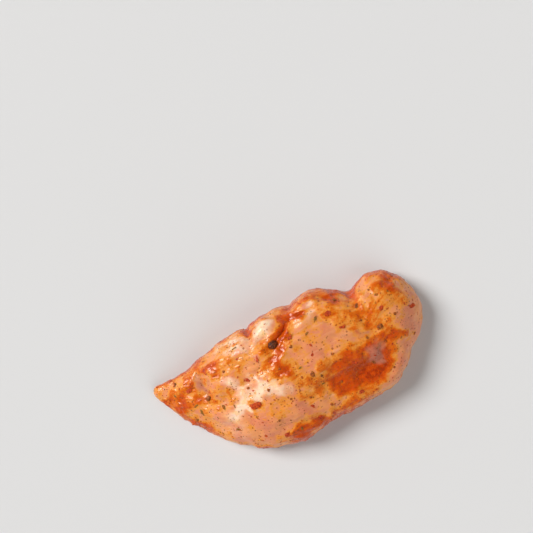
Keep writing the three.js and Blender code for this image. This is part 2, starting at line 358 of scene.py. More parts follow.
THICK_FILM_AND_EDGE_SHADE = spots(
    ("pool", 24, -16, -24, 8, 5.5, 0.6),
    ("pool low", 33, -23, -6, 11, 3.2, 0.7),
    ("pool head", 45.5, -18.5, 25, 4.5, 3, 0.7),
    ("pool end", 19.5, -21.5, -6, 6, 3.4, 0.6),
    ("pool brown", 30, -6, -2, 17, 3.6, 0.95),
    ("head brown", 53, -5, -20, 5, 4, 0.5),
    ("keel brown", 36, 2, 0, 5, 3, 0.55),
    ("head patch", 63, 19, 30, 6, 5.5, 0.5),
    ("neck streak", 44, 12.5, -8, 9, 3.6, 0.55),
    ("head arc", 60.5, -9, -16, 8, 3.2, 0.7),
    ("middle spot", -10, 5.5, 8, 4.5, 3.6, 1.15),
    ("amber arm", 8, -9, 0, 9, 4, 0.15),
    ("flap crease", 2, 25, 50, 6, 2.2, 0.9),
    ("middle crease", 12, 29, -9, 9, 2, 0.45),
    ("flap end", 9.5, 32.5, 0, 5, 2.2, 0.15),
    ("corn dimple", -10.3, 18.5, 15, 5, 3.4, 0.55),
    ("corn foot", -7.5, 14.5, 20, 5, 3, 0.45),
    ("corn top", -5.5, 25, 20, 4, 2.2, 0.6),
    ("corn side", -1.6, 19.6, 0, 3.4, 2.6, 0.6),
    ("flap gap", -15.6, 33, 80, 5, 1.8, 0.6),
    # painted shade in the crevice by the notch, with marinade
    ("edge red", 35.5, 27, 80, 7, 3.2, 0.9),
    ("edge red low", 38, 31, -40, 6, 3, 0.5),
    ("edge amber", 18, 35, 0, 16, 2.8, 0.65),
    ("flake rust", 30, 23.5, 10, 4, 3, 0.5),
    ("lobe foot", 9, 28, -10, 5, 2, 0.75),
    ("notch", 48, 26, 66, 5, 3, 0.45),
    # painted shade along the upper edge, with marinade gathered there
    ("head top edge", 55.5, 28.6, 4, 9, 2.6, 0.85),
    ("keel rim", -29, 35.6, 0, 14, 2.2, 0.7),
    ("flap rim", -7, 36.6, 4, 9, 2, 0.8),
    ("head edge", 68, 24.5, -50, 8, 3, 0.95),
    ("keel spot", -30.3, 28.5, 100, 5, 3, 0.75),
    ("left amber", -43, 9, -8, 6, 2.6, 0.45),
    ("crest amber", -34.5, 13, -20, 4, 2.4, 0.35),
    ("crest ochre", -18, 10.8, 0, 4, 3, 0.65),
    ("brow spot", -44.5, 24.6, -30, 5, 3, 1.3),
    ("keel amber", -53, 27, 10, 6, 4, 0.4),
    # painted shade along the keel edge, with marinade
    ("keel edge", -60, 30.4, 2, 15, 2.4, 0.8),
    ("tip amber", -60, 23.5, 24, 8, 5, 0.4),
    ("tip orange", -67, 15, -48, 11, 6.5, 0.36),
    # painted shade along the lower rim, with marinade
    ("tip edge", -64, -4, -48, 12, 2.8, 0.85),
    ("tip point", -78, 21, 70, 4, 2.4, 0.6),
    # painted shade along the lower edge, with marinade run down there
    ("low edge", -13, -32, -6, 12, 4, 1.05),
    ("low edge right", 14, -34, 2, 16, 2.6, 0.9),
    ("pool foot", 34, -27.5, 4, 15, 2.4, 0.3),
    ("low roll end", 20, -28.3, 0, 6, 2.6, 0.5),
    ("crest end", -18, 4.5, 60, 4.6, 3, 0.5),
    ("crest middle", -26.3, 4.4, 0, 3.4, 2.4, 0.3),
    ("tip middle", -56, 11.4, 0, 4, 3, 0.3),
    ("left low edge", -42, -30, -24, 13, 2.4, 0.45),
    ("keel side", -46, 38, 4, 24, 3.4, 0.35),
    ("flake stain", -31, -4.2, 0, 3.6, 3.2, 0.75),
)
# Where the flesh shows bare. The spots named like the fat and highlight spots (crest, keel step, middle lobe, edge
# ridge, flap, left low) also lighten the flesh there as painted highlight.
BARE = spots(
    ("belly band", -16, -19.5, 4, 20, 5, 0.85, 1),
    ("belly", -38, -18, -12, 14, 8, 0.5),
    ("left low", -51, -10, -50, 12, 6, 0.4),
    ("low band", 44, -27, 14, 12, 2.8, 0.75, 2),
    ("pool rim", 52, -19.5, 30, 6, 3, 0.6),
    ("low roll", 8, -24, 0, 12, 3.4, 0.5),
    ("head lobe", 68, -4, 12, 10, 5, 0.85),
    ("head rim", 74, 12, -62, 11, 3.4, 0.35),
    ("head low rim", 66, -17, 34, 12, 3, 0.55),
    ("head shoulder", 54, 21, 20, 7, 6, 0.6),
    ("pink streak", 34, 5.5, -22, 14, 3, 0.7),
    ("middle blush", 11, 3, 60, 6, 3.4, 0.5),
    ("middle low", 3, -5, 0, 5, 3, 0.3),
    ("neck pale", 44, 22, 60, 5, 3, 0.5),
    ("head middle", 55, 6.4, 0, 5, 3, 0.4),
    ("edge foot", 33.4, 21.2, 0, 3.4, 2.4, 0.3),
    ("crease end", 3.9, 30.4, 0, 3.4, 2.6, 0.45),
    ("tip end", -74, 27.5, 2, 8, 2.8, 0.8),
    ("tip shadow", -53, 20, 70, 7, 3.8, 0.8),
    ("tip back", -60, 28, -4, 8, 2.6, 0.45),
    ("crest left", -41, -2, 12, 9, 5, 0.6),
    ("crest left end", -34.8, -3.3, 0, 3.6, 2.8, 0.5),
    ("crest middle", -25, 2.5, -22, 15, 6.4, 0.65),
    ("crest end", -13, -3, -30, 6, 4, 0.55),
    ("crest keel", -26, 30.2, -8, 12, 4.2, 0.9),
    ("keel step", -25.5, 13.5, -50, 6, 3.4, 0.6),
    ("tip fold", -50, 2.6, -40, 7, 4, 0.6),
    ("tip low", -64, 4.5, -45, 5, 3, 0.4),
    ("crest step", -18.5, 25, -50, 5, 3.4, 0.5),
    ("keel shoulder", -40, 30, 6, 9, 4.4, 0.4),
    ("flap", -7, 31, 14, 9, 4, 0.9, 0.5),
    ("crest top", -37, 14, -40, 9, 4.6, 0.7),
    ("crest blush", -20, 15, -50, 7, 3.6, 0.65),
    ("crest foot", -15, 15.7, 0, 3.6, 2.6, 0.45),
    ("keel furrow", -33, 21, 0, 4, 3, 0.5),
    ("middle lobe", 13, 22.5, 6, 7, 3.2, 0.6),
    ("edge ridge", 22, 30, 75, 6.5, 3, 0.7),
)
# Pale fat and painted highlights. The flap is real fat and is also painted lighter as a highlight. On the crest, ridges
# and lobe, the cream is painted highlight over pale flesh.
FAT_AND_HIGHLIGHT_SPOTS = spots(
    ("flap", -7, 31.5, 16, 9, 4.2, 0.8, 0.5),
    ("crest left", -39.5, -2, 12, 8, 4.6, 0.95),
    ("crest left end", -34.8, -3.3, 0, 3.6, 2.8, 0.5),
    ("crest middle", -24, 2.5, -22, 13, 5.4, 0.85),
    ("crest keel", -25.5, 30.6, -8, 11, 3.8, 0.75),
    ("crest top", -37.5, 14.5, -45, 7, 3.6, 0.55),
    ("crest step", -19.5, 24.5, -50, 6, 3.2, 0.45),
    ("keel step", -24, 12.5, -60, 4, 3, 0.35),
    ("middle lobe", 14, 22.5, 6, 6.5, 2.8, 0.35),
    ("edge ridge", 22, 30, 75, 6, 2.6, 0.6),
    ("crest end", -14, -3, -30, 5, 3.6, 0.4),
    ("left low", -50, -10, -45, 14, 8, 0.34),
)
BLOOD = spots(
    ("pool lump", 42, -11.5, 60, 7.5, 5.4, 1.3),
    ("tip shadow", -53, 19, 74, 8, 4, 1.0),
    ("belly band", -10, -19.5, 4, 16, 4, 0.45),
    ("head lobe", 69, -5, 10, 8, 3.6, 0.4),
    ("pink streak", 35, 5, -22, 13, 2.8, 0.6),
    ("low band", 42, -27, 14, 13, 2.6, 0.35, 2),
)


@dataclass
class Marinade:
    """Where the marinade is thick, with painted shade along parts of the edge, where the flesh shows bare, where pale
    fat and painted highlights lie, and where it stands in a pool.
    """

    # thick marinade, with painted shade along parts of the edge
    thick: tuple[Spot, ...] = THICK_FILM_AND_EDGE_SHADE
    bare: tuple[Spot, ...] = BARE
    fat_and_highlight: tuple[Spot, ...] = FAT_AND_HIGHLIGHT_SPOTS
    blood: tuple[Spot, ...] = BLOOD
    base: float = 0.42
    most: float = 1.3
    blotch: float = 0.46
    wide_blotches: Bumps = Bumps(14, 3, 7.3)
    small_blotches: Bumps = Bumps(5.5, 3, 2.1)
    small_share: float = 1.1
    run_down: float = 0.4  # how much more of it lies low on the sides
    low: Range = (3.0, 20.0)  # the heights between which that fades
    in_creases: float = 0.3  # how much more lies in a crease a millimetre deep
    patches: Bumps = Bumps(6, 3, 11.9)
    patchy: float = 0.6  # how they break up the fat with its painted highlights, and the blood
    fill: float = 0.4  # how deep the pool is at its middle
    soft: float = 0.4  # how softly its edge meets the flesh
    stray: float = 4.0  # how far the spots' outlines wander
    strays: tuple[Bumps, ...] = (Bumps(8, 3, 31.7), Bumps(8, 3, 77.1))  # along X, and along Y

    def strayed(self, points: Array) -> Array:
        """The points' x and y, shifted about, so that no spot's outline is even."""
        return points[:, :2] + np.stack([self.stray * bumps.at(points) for bumps in self.strays], axis=1)

    def together(self, group: tuple[Spot, ...], at: Array) -> Array:
        """The shares of some spots together at x, y places."""
        return sum(s.high * s.share(at[:, 0], at[:, 1]) for s in group)

    def amount(self, points: Array, at: Array, hollow: Array) -> Array:
        """How thick the marinade lies at each point, 0 to about 1, thicker along parts of the edge as painted shade.

        Args:
            points: the surface's points.
            at: where each lies among the spots.
            hollow: how far each point lies in a crease.

        Returns:
            0 where the flesh is bare and 1 where it is wholly hidden.
        """
        blotches = self.wide_blotches.at(points) + self.small_share * self.small_blotches.at(points)
        placed = self.together(self.thick, at) - self.together(self.bare, at)
        run = self.run_down * (1 - smoothstep(points[:, 2], *self.low))
        total = self.base + self.blotch * blotches + placed + run + self.in_creases * hollow
        return np.clip(total, 0, self.most)

    def mask(self, group: tuple[Spot, ...], points: Array, at: Array) -> Array:
        """The shares of some spots together, uneven all over."""
        uneven = 1 + self.patchy * self.patches.at(points)
        return np.clip(self.together(group, at) * uneven, 0, 1)


@dataclass
class Grain:
    """The muscle's grain and the film's unevenness, as relief finer than the solid's."""

    fibres: Bumps = Bumps(2.4, 2, 3.7)
    fibre_run: float = 26.0
    fibre_high: float = 0.16
    bundles: Bumps = Bumps(7.0, 2, 9.1)
    bundle_run: float = 44.0
    bundle_high: float = 0.22
    lumps: Bumps = Bumps(9.0, 3, 5.2)
    lump_high: float = 0.3
    film_at: Range = (0.35, 0.8)  # the amounts of marinade between which it closes
    film_high: float = 0.42
    film_hides: float = 0.55  # the share of the grain that it fills
    pads: Bumps = Bumps(3.4, 3, 4.4)
    pad_high: float = 0.3
    paste: Bumps = Bumps(3.2, 3, 8.8)
    paste_at: Range = (0.7, 1.1)
    paste_high: float = 0.55

    def lines(self, form: FilletForm, points: Array) -> Array:
        """Coordinates that run along and across the grain, which draws together towards the tip."""
        x, y = points[:, 0], points[:, 1]
        across = (y - form.middle(x)) / form.breadth(x) * np.mean(form.breadth(form.middle.xs))
        return np.stack([x, across, points[:, 2]], axis=1)

    def raise_by(self, lines: Array, points: Array, amount: Array, fat_and_highlight: Array) -> Array:
        """How far the grain, the film, its thick paste and the pads under the fat and painted highlights raise each
        point.

        Args:
            lines: the points along and across the grain.
            points: the surface's points.
            amount: how thick the marinade lies.
            fat_and_highlight: how much pale fat and painted highlight lies at each point.

        Returns:
            Millimetres.
        """
        fibre = self.fibres.at(lines * [self.fibres.size / self.fibre_run, 1, 1])
        bundle = self.bundles.at(lines * [self.bundles.size / self.bundle_run, 1, 1])
        grain = self.fibre_high * fibre + self.bundle_high * bundle
        film = smoothstep(amount, *self.film_at)
        pads = self.pad_high * fat_and_highlight * self.pads.at(points)
        paste = self.paste_high * smoothstep(amount, *self.paste_at) * self.paste.at(points)
        lumps = self.lump_high * self.lumps.at(points)
        return grain * (1 - self.film_hides * film) + lumps + self.film_high * film + paste + pads


@dataclass
class Surface:
    """The fillet's finished surface: the form, the grain, the film and the pool together."""

    form: FilletForm = field(default_factory=FilletForm)
    marinade: Marinade = field(default_factory=Marinade)
    grain: Grain = field(default_factory=Grain)
    outline_cells: int = 40
    top: Range = (-0.3, 0.25)  # the normal's z between which the fine relief comes in
    below: float = 0.3  # the share of it on the underside
    pool_edge: Bumps = Bumps(8, 3, 6.6)
    pool_ragged: float = 0.7
    pool_at: Range = (0.15, 0.55)  # the hollow's shares between which it comes in
    foot: float = 1.2  # below which the side turns under

    def __post_init__(self) -> None:
        """Finds the pool's level and how far the solid was moved to stand in the middle of its box."""
        hollow = next(s for s in self.form.relief_spots if s.name == "pool hollow")
        bottom, _ = self.form.surface(self.form.ball_above(np.array([hollow.x]), np.array([hollow.y])))
        self.level = bottom[0, 2] + self.marinade.fill
        self.hollow = hollow
        outline, _ = self.form.surface(cube_ball(self.outline_cells)[0])
        low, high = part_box(NODE)
        middle = (np.array(low[:2]) + np.array(high[:2])) / 2 / METRE
        self.shift = np.array([*(middle - (outline.min(axis=0) + outline.max(axis=0))[:2] / 2), 0.0])

    def at(self, ball: Array) -> dict[str, Array]:
        """The surface at points of the ball.

        Args:
            ball: points of the ball, one row each.

        Returns:
            point, normal and each of the measures. lines follow the grain, and the others are shares.
        """
        point, normal = self.form.surface(ball)
        x, y = point[:, 0], point[:, 1]
        top = smoothstep(normal[:, 2], *self.top)
        creases = sum(s.share(x, y) * -s.high for s in self.form.relief_spots if s.high < 0)
        among = self.marinade.strayed(point)
        amount = self.marinade.amount(point, among, creases)
        # pale fat, and the painted highlights on the crest and ridges
        fat_and_highlight = self.marinade.mask(self.marinade.fat_and_highlight, point, among)
        lines = self.grain.lines(self.form, point)
        fine = self.grain.raise_by(lines, point, amount, fat_and_highlight)
        raised = point + normal * (fine * (self.below + (1 - self.below) * top))[:, None]
        pool = self.fill_pool(raised, top)
        raised[:, 2] = self.flatten(raised[:, 2])
        return {
            "point": raised + self.shift,
            "normal": normal,
            "film": amount,
            "pool": pool,
            "fat_and_highlight": fat_and_highlight,
            "blood": self.marinade.mask(self.marinade.blood, point, among),
            "lines": lines,
        }

    def fill_pool(self, points: Array, top: Array) -> Array:
        """Raises the top's points under the pool to its level, and says how deep it is over each, 0 to 1."""
        ragged = 1 + self.pool_ragged * self.pool_edge.at(points)
        share = top * smoothstep(self.hollow.share(points[:, 0], points[:, 1]) * ragged, *self.pool_at)
        soft = self.marinade.soft
        depth = soft * np.logaddexp(0, (self.level - points[:, 2]) / soft) * share
        points[:, 2] += depth
        return np.clip(depth / self.marinade.fill, 0, 1)

    def flatten(self, z: Array) -> Array:
        """Heights pressed flat against the floor, with a soft foot where the side meets it."""
        return np.where(z > self.foot, z, self.foot * np.exp(np.minimum(z / self.foot, 1) - 1))


def cube_ball(cells: int, top_bias: float = 0.35) -> tuple[Array, Array]:
    """A ball made of six square grids.

    Args:
        cells: how many cells lie along each edge of the cube that it is made from.
        top_bias: how far its points are drawn towards its top.

    Returns:
        Its points, and its faces of four points each.
    """
    line = np.tan(np.linspace(-math.pi / 4, math.pi / 4, cells + 1))
    u, v = np.meshgrid(line, line, indexing="ij")
    ones = np.ones_like(u)
    sides = [(ones, u, v), (-ones, -u, v), (-u, ones, v), (u, -ones, v), (-v, u, ones), (v, u, -ones)]
    points = unit(np.concatenate([np.stack(side, axis=-1).reshape(-1, 3) for side in sides]))
    _, first, inverse = np.unique(points.round(WELD_DIGITS), axis=0, return_index=True, return_inverse=True)
    inverse = inverse.reshape(-1)
    a = (np.arange(cells)[:, None] * (cells + 1) + np.arange(cells)[None, :]).reshape(-1)
    face = np.stack([a, a + cells + 1, a + cells + 2, a + 1], axis=1)
    faces = inverse[np.concatenate([face + k * (cells + 1) ** 2 for k in range(len(sides))])]
    points = points[first]
    from_top = np.arccos(np.clip(points[:, 2], -1, 1))
    spread = np.hypot(points[:, 0], points[:, 1])
    nearer = from_top - top_bias * np.sin(from_top)
    scale = np.where(spread > TINY, np.sin(nearer) / np.maximum(spread, TINY), 0)
    return np.stack([points[:, 0] * scale, points[:, 1] * scale, np.cos(nearer)], axis=1), faces


def small_ball(subdivisions: int) -> tuple[Array, Array]:
    """An even ball of radius 1: its points, and its faces of three points each."""
    shape = bmesh.new()
    bmesh.ops.create_icosphere(shape, subdivisions=subdivisions, radius=1)
    points = np.array([vert.co[:] for vert in shape.verts])
    faces = np.array([[vert.index for vert in face.verts] for face in shape.faces])
    shape.free()
    return points, faces


def mesh_object(name: str, points: Array, faces: Array) -> bpy.types.Object:
    """A smooth mesh object, linked to the scene.

    Args:
        name: the piece's name.
        points: its points, in metres.
        faces: its faces, all with as many points.

    Returns:
        The object.
    """
    mesh = bpy.data.meshes.new(name)
    mesh.from_pydata(points.tolist(), [], faces.tolist())
    mesh.shade_smooth()
    piece = bpy.data.objects.new(name, mesh)
    bpy.context.scene.collection.objects.link(piece)
    return piece


def add_measure(piece: bpy.types.Object, name: str, values: Array) -> None:
    """Stores a number or a vector at each point of a mesh, for its material to read."""
    kind, key = ("FLOAT", "value") if values.ndim == 1 else ("FLOAT_VECTOR", "vector")
    piece.data.attributes.new(name, kind, "POINT").data.foreach_set(key, values.astype(np.float32).reshape(-1))


class Shader:
    """A material's nodes, added one by one."""

    mix_inputs: tuple[int, ...] = (0, 6, 7)  # the share and the colours
    mix_output: int = 2
    middle: float = 0.5

    def __init__(self, name: str) -> None:
        """Starts a material with its main shader."""
        self.material = bpy.data.materials.new(name)
        self.material.use_nodes = True
        self.tree = self.material.node_tree
        self.main = self.tree.nodes["Principled BSDF"]

    def put(self, socket: Socket, value: Value) -> None:
        """Links or sets one socket."""
        if isinstance(value, Socket):
            self.tree.links.new(value, socket)
        else:
            socket.default_value = (*value, 1.0) if isinstance(value, tuple) else value

    def add(self, kind: str, output: str | int = 0, **sockets: Value) -> Socket:
        """Adds a node.

        Args:
            kind: its type.
            output: which output is returned.
            **sockets: its inputs by name, with _ for a space.

        Returns:
            The output.
        """
        node = self.tree.nodes.new(kind)
        for key, value in sockets.items():
            self.put(node.inputs[key.replace("_", " ")], value)
        return node.outputs[output]

    def measure(self, name: str, output: str = "Fac") -> Socket:
        """A number or vector stored in the mesh."""
        node = self.tree.nodes.new("ShaderNodeAttribute")
        node.attribute_name = name
        return node.outputs[output]

    def scaled(self, vector: Socket, *scale: float) -> Socket:
        """A vector stretched along its axes."""
        return self.add("ShaderNodeMapping", Vector=vector, Scale=Vector(scale))

    def place(self) -> Socket:
        """The place on the piece, in millimetres."""
        return self.scaled(self.add("ShaderNodeTexCoord", "Object"), *[1 / METRE] * 3)

    def math(self, operation: str, first: Value, second: Value) -> Socket:
        """One sum of two values."""
        node = self.tree.nodes.new("ShaderNodeMath")
        node.operation = operation
        self.put(node.inputs[0], first)
        self.put(node.inputs[1], second)
        return node.outputs[0]

    def swing(self, value: Socket, strength: float) -> Socket:
        """How far a noise is from its middle, times a strength."""
        return self.math("MULTIPLY", self.math("SUBTRACT", value, self.middle), strength)

    def spread(self, value: Socket, low: float, high: float, to_low: float = 0.0, to_high: float = 1.0) -> Socket:
        """A value carried smoothly from one range to another."""
        node = self.tree.nodes.new("ShaderNodeMapRange")
        node.interpolation_type = "SMOOTHSTEP"
        ends = {"Value": value, "From Min": low, "From Max": high, "To Min": to_low, "To Max": to_high}
        for key, end in ends.items():
            self.put(node.inputs[key], end)
        return node.outputs[0]

    def mix(self, share: Value, first: Value, second: Value) -> Socket:
        """Two colours mixed."""
        node = self.tree.nodes.new("ShaderNodeMix")
        node.data_type = "RGBA"
        for number, value in zip(self.mix_inputs, (share, first, second)):
            self.put(node.inputs[number], value)
        return node.outputs[self.mix_output]

    def noise(self, place: Socket, size: float, detail: float = 3.0, roughness: float = 0.5) -> Socket:
        """Soft noise, with bumps of a size in millimetres."""
        return self.add("ShaderNodeTexNoise", "Fac", Vector=place, Scale=1 / size, Detail=detail, Roughness=roughness)

    def specks(self, place: Socket, gap: float, largest: float, edge: float = 0.06) -> Socket:
        """Specks of uneven size and outline.

        Args:
            place: the place, in millimetres.
            gap: how far apart they lie.
            largest: the largest radius.
            edge: how soft they are, as a share of the gap.

        Returns:
            1 in a speck and 0 between them.
        """
        ragged = self.swing(self.noise(place, 0.35, 2), 0.5)
        node = self.tree.nodes.new("ShaderNodeTexVoronoi")
        self.put(node.inputs["Vector"], place)
        self.put(node.inputs["Scale"], 1 / gap)
        radius = self.math("MULTIPLY", node.outputs["Color"], largest / gap)
        inside = self.math("SUBTRACT", radius, node.outputs["Distance"])
        return self.spread(self.math("ADD", inside, ragged), 0.0, edge)

    def finish(self, **sockets: Value) -> bpy.types.Material:
        """Sets the main shader's inputs and returns the material."""
        for key, value in sockets.items():
            self.put(self.main.inputs[key.replace("_", " ")], value)
        return self.material


@dataclass(frozen=True)
class FleshFinish:
    """Raw meat under a wet orange marinade."""

    pink: Colour = srgb(216, 128, 92)
    peach: Colour = srgb(230, 150, 92)
    pale: Colour = srgb(242, 190, 142)
    # fat and cream also paint the highlights on the crest and ridges
    fat_and_highlight: Colour = srgb(247, 211, 180)
    cream: Colour = srgb(243, 192, 136)
    blood: Colour = srgb(182, 112, 88)
    thin: Colour = srgb(228, 146, 48)
    orange: Colour = srgb(212, 102, 8)
    thick: Colour = srgb(202, 74, 2)
    brown: Colour = srgb(184, 66, 2)
    deep: Colour = srgb(152, 42, 0)
    speck: Colour = srgb(142, 60, 12)
    shine: Colour = (1.0, 0.88, 0.76)

    def material(self) -> bpy.types.Material:
        """The material, which reads the flesh's measures."""
        s = Shader("wet marinated flesh")
        place = s.place()
        fibre = s.noise(s.scaled(s.measure("lines", "Vector"), 0.09, 1, 0.6), 1.5, 3, 0.6)
        crumb = s.noise(place, 2.2, 5, 0.7)
        grit = s.noise(place, 0.8, 3, 0.6)
        paste = s.noise(place, 3.5, 5, 0.75)
        cloud = s.noise(place, 9, 4, 0.6)
        curd = s.noise(place, 5, 3, 0.6)
        uneven = s.math("ADD", s.swing(crumb, 1.0), s.swing(grit, 0.8))
        film = s.math("ADD", s.math("ADD", s.measure("film"), s.swing(fibre, -0.8)), uneven)
        fat_and_highlight = s.math("ADD", s.measure("fat_and_highlight"), s.math("MULTIPLY", crumb, 0.3))
        pool = s.measure("pool")
        chosen = s.spread(s.noise(place, 4.3, 2), 0.44, 0.6, 0, 0.75)
        colour = s.mix(s.spread(cloud, 0.35, 0.68), self.pink, self.peach)
        layers = (
            (s.spread(fibre, 0.52, 0.75, 0, 0.3), self.pale),
            # pale fat, and painted highlights on the crest and ridges
            (s.spread(fat_and_highlight, 0.25, 1.1), s.mix(s.spread(curd, 0.32, 0.54), self.cream, self.fat_and_highlight)),
            (s.spread(film, 0.1, 0.5, 0, 0.9), self.thin),
            (s.spread(film, 0.42, 0.88), self.orange),
            (s.spread(film, 0.85, 1.3), s.mix(s.spread(paste, 0.4, 0.6), self.brown, self.thick)),
            (s.spread(pool, 0.15, 0.9, 0, 0.9), s.mix(s.spread(paste, 0.4, 0.62), self.deep, self.thick)),
            (s.spread(s.measure("blood"), 0.2, 0.95, 0, 0.85), self.blood),
            (s.math("MULTIPLY", s.specks(place, 1.5, 0.75), chosen), self.speck),
        )
        for share, layer in layers:
            colour = s.mix(share, colour, layer)
        grain = s.math("ADD", s.math("MULTIPLY", fibre, 0.7), s.math("MULTIPLY", crumb, 0.7))
        height = s.math("MULTIPLY", grain, s.spread(pool, 0.1, 0.7, 1, 0.7))
        return s.finish(
            Base_Color=colour,
            Roughness=s.math("ADD", s.spread(film, 0.3, 0.9, 0.4, 0.27), s.swing(crumb, 0.2)),
            Normal=s.add("ShaderNodeBump", Height=height, Strength=0.4, Distance=0.0006),
            Subsurface_Weight=0.3,
            Subsurface_Radius=Vector((1.0, 0.42, 0.2)),
            Subsurface_Scale=0.003,
            Specular_IOR_Level=0.32,
            Specular_Tint=self.shine,
            Coat_Weight=0.45,
            Coat_Roughness=0.1,
            Coat_IOR=1.35,
        )


@dataclass(frozen=True)
class SpiceFinish:
    """Dried spice, wet and partly filmed over with marinade."""

    film: Colour = srgb(196, 84, 22)

    def material(self, kind: Spice) -> bpy.types.Material:
        """The material.

        Args:
            kind: the spice, with its two colours.

        Returns:
            The material.
        """
        s = Shader(f"wet {kind.word}")
        place = s.place()
        colour = s.mix(s.spread(s.noise(place, 0.9), 0.38, 0.62), kind.dark, kind.light)
        colour = s.mix(s.spread(s.noise(place, 1.7), 0.5, 0.66, 0, kind.filmed), colour, self.film)
        bump = s.add("ShaderNodeBump", Height=s.noise(place, 0.35), Strength=0.6, Distance=0.0003)
        return s.finish(Base_Color=colour, Roughness=0.5, Normal=bump, Specular_IOR_Level=0.3)


class Shape(Enum):
    """How a bit of spice is shaped."""

    CORN = "a wrinkled ball"
    CHUNK = "a broken lump with flat sides"
    FLAKE = "a thin curled flake with a broken outline"


class Spice(Enum):
    """The kinds of spice: word, shape, size in millimetres, share sunk in, two colours and share filmed over."""

    PEPPERCORN = ("peppercorn", Shape.CORN, (4.8, 4.4, 4.2), 0.45, srgb(50, 18, 6), srgb(112, 54, 20), 0.5)
    CHILLI = ("chilli", Shape.FLAKE, (4.2, 2.8, 1.3), 0.5, srgb(152, 36, 4), srgb(200, 74, 14), 0.6)
    PEPPER = ("pepper", Shape.CHUNK, (2.6, 2.1, 1.6), 0.5, srgb(108, 54, 14), srgb(168, 92, 28), 0.8)
    HERB = ("herb", Shape.FLAKE, (3.4, 1.5, 1.1), 0.5, srgb(106, 74, 16), srgb(150, 106, 32), 0.8)

    def __init__(
        self, word: str, shape: Shape, size: Triple, sunk: float, dark: Colour, light: Colour, filmed: float
    ) -> None:
        """Names the values."""
        self.word = word
        self.shape = shape
        self.size = size
        self.sunk = sunk
        self.dark = dark
        self.light = light
        self.filmed = filmed


@dataclass(frozen=True)
class Bit:
    """One bit of spice: its kind, place, turn in degrees and scale."""

    kind: Spice
    x: float
    y: float
    turn: float
    scale: float = 1.0


@dataclass
class SpiceScatter:
    """Where the solid's coarse bits lie, by the solid's own rule and seed."""

    placed: tuple[Bit, ...] = (
        Bit(Spice.PEPPERCORN, -6.4, 21.3, 20, 1.25),
        Bit(Spice.CHILLI, -31, -4.2, -12, 1.55),
        Bit(Spice.HERB, -47.2, 2.6, 80, 1.25),
        Bit(Spice.PEPPER, -53.5, 11.2, 0, 1.35),
        Bit(Spice.CHILLI, -61, 21, 25, 1.1),
        Bit(Spice.CHILLI, 29.4, 21.4, 10, 1.05),
        Bit(Spice.PEPPER, 45.5, 17.4, 50, 1.25),
        Bit(Spice.HERB, 21.6, 22.3, 50, 1.1),
        Bit(Spice.CHILLI, -3.5, -28.7, 12, 1.1),
        Bit(Spice.CHILLI, -23.4, -27.8, -10, 1.1),
        Bit(Spice.CHILLI, 72.5, 2.2, -20, 1.0),
        Bit(Spice.CHILLI, 24.6, -26.6, 30, 1.1),
        Bit(Spice.PEPPER, 5.6, -3.8, 65, 1.3),
        Bit(Spice.CHILLI, 33, 11, -28, 0.9),
        Bit(Spice.CHILLI, 57, 9.5, 20, 0.9),
        Bit(Spice.HERB, -46, -12, -35, 1.1),
        Bit(Spice.HERB, -60.2, 5.6, 80, 1.15),
        Bit(Spice.PEPPER, 51.2, 0.8, 0, 1.35),
        Bit(Spice.CHILLI, -66.2, -2.6, -50, 1.0),
        Bit(Spice.HERB, 58.6, 17, -30, 1.0),
        Bit(Spice.HERB, 14, 17.6, 20, 0.9),
    )
    count: int = 48
    kinds: tuple[Spice, ...] = (Spice.CHILLI, Spice.HERB, Spice.PEPPER, Spice.PEPPER)
    reach: Range = (0.9, 0.88)  # along and across the fillet
    scale: Range = (0.55, 0.85)
    step: Range = (0.7548776662, 0.569840291)  # irrational, so that no rows form
    start: int = 919
    clearance: float = 5.0
    seed: int = 4207
    multiplier: int = 16807
    modulus: int = 2147483647

    def draws(self) -> Iterator[float]:
        """Endless draws from 0 to 1."""
        state = self.seed
        while True:
            state = state * self.multiplier % self.modulus
            yield state / self.modulus

    def bits(self, form: FilletForm) -> list[Bit]:
        """All the coarse bits, placed and scattered."""
        draw = self.draws()
        bits = list(self.placed)
        number = self.start - 1
        while len(bits) < len(self.placed) + self.count:
            number += 1
            s, across = (reach * (2 * (number * step % 1) - 1) for reach, step in zip(self.reach, self.step))
            x = form.half * s
            at = np.array([x])
            y = float(form.middle(at)[0] + form.breadth(at)[0] * math.sqrt(1 - s * s) * across)
            kind = self.kinds[int(next(draw) * len(self.kinds))]
            turn = 360 * next(draw)
            scale = self.scale[0] + (self.scale[1] - self.scale[0]) * next(draw)
            if all(math.hypot(b.x - x, b.y - y) > self.clearance for b in bits):
                bits.append(Bit(kind, x, y, turn, scale))
        return bits


@dataclass
class Flesh:
    """The fillet's flesh, as one fine mesh."""

    surface: Surface
    cells: int = 124

    def make(self) -> bpy.types.Object:
        """Builds and dresses the flesh."""
        ball, faces = cube_ball(self.cells)
        found = self.surface.at(ball)
        piece = mesh_object("fillet_flesh", found["point"] * METRE, faces)
        for name in MEASURES:
            add_measure(piece, name, found[name])
        piece.data.materials.append(FleshFinish().material())
        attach(piece, BODY)
        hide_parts(NODE)
        return piece


